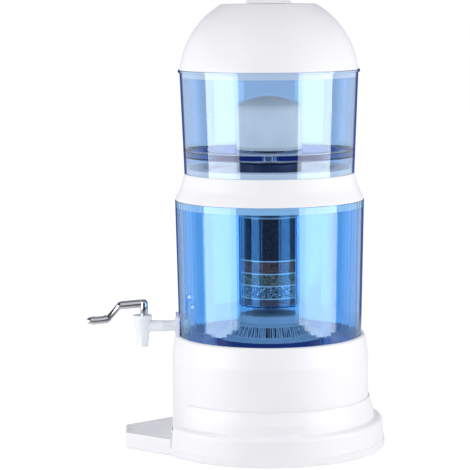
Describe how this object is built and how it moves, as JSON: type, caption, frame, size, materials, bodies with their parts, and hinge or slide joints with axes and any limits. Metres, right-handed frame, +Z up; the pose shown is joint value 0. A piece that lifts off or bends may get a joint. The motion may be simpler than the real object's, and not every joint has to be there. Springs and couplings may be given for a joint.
{
  "type": "gravity water filter with tap",
  "caption": "Countertop gravity water filter: domed lid, clear tanks, ceramic dome, layered cartridge and stone case, on a pedestal with a drip tray and a self-closing lever tap.",
  "frame": {"origin": "the vessel's axis at the level of the counter, under the centre foot", "axes": "+Z up along the vessel's axis, -Y towards the tap and the drip tray, +X to the right of someone facing the tap"},
  "size_m": [0.299, 0.3888, 0.5965],
  "materials": {
    "white_shell": "glossy injection-moulded white",
    "rubber_feet": "matte dark rubber",
    "steel_fastener": "zinc-plated, fine brushed",
    "blue_clear": "transparent blue, polished",
    "pale_clear": "transparent pale blue, polished",
    "case_plastic": "grey-blue moulded grille",
    "mineral_stone": "rounded tumbled pebbles, mixed earth tones",
    "tap_plastic": "glossy white, moulded",
    "silicone": "translucent pale silicone",
    "dark_seal": "matte black rubber",
    "acetal": "plain off-white acetal",
    "lever_chrome": "mirror-bright plating",
    "cartridge_blue": "dark blue moulded cap",
    "cartridge_clear": "transparent blue tube",
    "silica": "fine purplish-grey silica grains",
    "mineral_sand": "speckled grey mineral sand",
    "zeolite": "greenish-brown zeolite grains",
    "ceramic_balls": "red-brown porous ceramic balls",
    "carbon": "black granular activated carbon",
    "felt": "white non-woven mesh pad",
    "dome_ceramic": "unglazed off-white porous ceramic"
  },
  "bodies": {
    "base": {"feet": "rubber_feet", "base_plate": "white_shell", "base_collar": "white_shell", "stand": "white_shell", "base_screws": "steel_fastener"},
    "lower_vessel": {"lower_tank": "blue_clear", "tap_body": "tap_plastic", "tap_bonnet": "tap_plastic", "tap_washer": "silicone", "tap_gasket": "silicone", "tap_nut": "tap_plastic", "stem_seal": "dark_seal"},
    "stone_case": {"stone_case_base": "case_plastic", "stone_case_cover": "case_plastic", "mineral_stones": "mineral_stone"},
    "valve": {"valve_plunger": "acetal", "valve_seat_plug": "dark_seal", "valve_spring": "steel_fastener"},
    "lever": {"tap_lever": "lever_chrome", "lever_pin": "steel_fastener"},
    "filter_deck": {"mid_ring": "white_shell", "cartridge_cap": "cartridge_blue", "cartridge_housing": "cartridge_clear", "silica_layer": "silica", "mineral_layer": "mineral_sand", "zeolite_layer": "zeolite", "ceramic_ball_layer": "ceramic_balls", "carbon_layer": "carbon", "mesh_discs": "felt"},
    "upper_vessel": {"upper_tank": "pale_clear", "dome_gasket": "dark_seal", "dome_base": "acetal", "ceramic_dome": "dome_ceramic", "dome_carbon": "carbon", "wing_nut": "acetal"},
    "lid": {"lid": "white_shell", "knob": "white_shell", "knob_screw": "steel_fastener"}
  },
  "joints": [
    {"name": "tank_lift", "type": "slide", "parent": "base", "child": "lower_vessel", "axis": [0, 0, 1], "range_m": [0, 0.04]},
    {"name": "case_lift", "type": "slide", "parent": "lower_vessel", "child": "stone_case", "axis": [0, 0, 1], "range_m": [0, 0.009]},
    {"name": "plunger_lift", "type": "slide", "parent": "lower_vessel", "child": "valve", "axis": [0, 0, 1], "range_m": [0, 0.0013], "deforming": ["valve_spring"]},
    {"name": "lever_press", "type": "hinge", "parent": "valve", "child": "lever", "pos_m": [0, -0.1666, 0.176], "axis": [1, 0, 0], "range_deg": [0, 20], "stiffness_Nm_per_rad": 0.12, "springref_deg": -22.92},
    {"name": "deck_lift", "type": "slide", "parent": "lower_vessel", "child": "filter_deck", "axis": [0, 0, 1], "range_m": [0, 0.18]},
    {"name": "upper_tank_lift", "type": "slide", "parent": "filter_deck", "child": "upper_vessel", "axis": [0, 0, 1], "range_m": [0, 0.05]},
    {"name": "lid_lift", "type": "slide", "parent": "upper_vessel", "child": "lid", "axis": [0, 0, 1], "range_m": [0, 0.1]}
  ],
  "couplings": [
    {"joint": "plunger_lift", "follows": "lever_press", "m_per_rad": 0.0033}
  ]
}
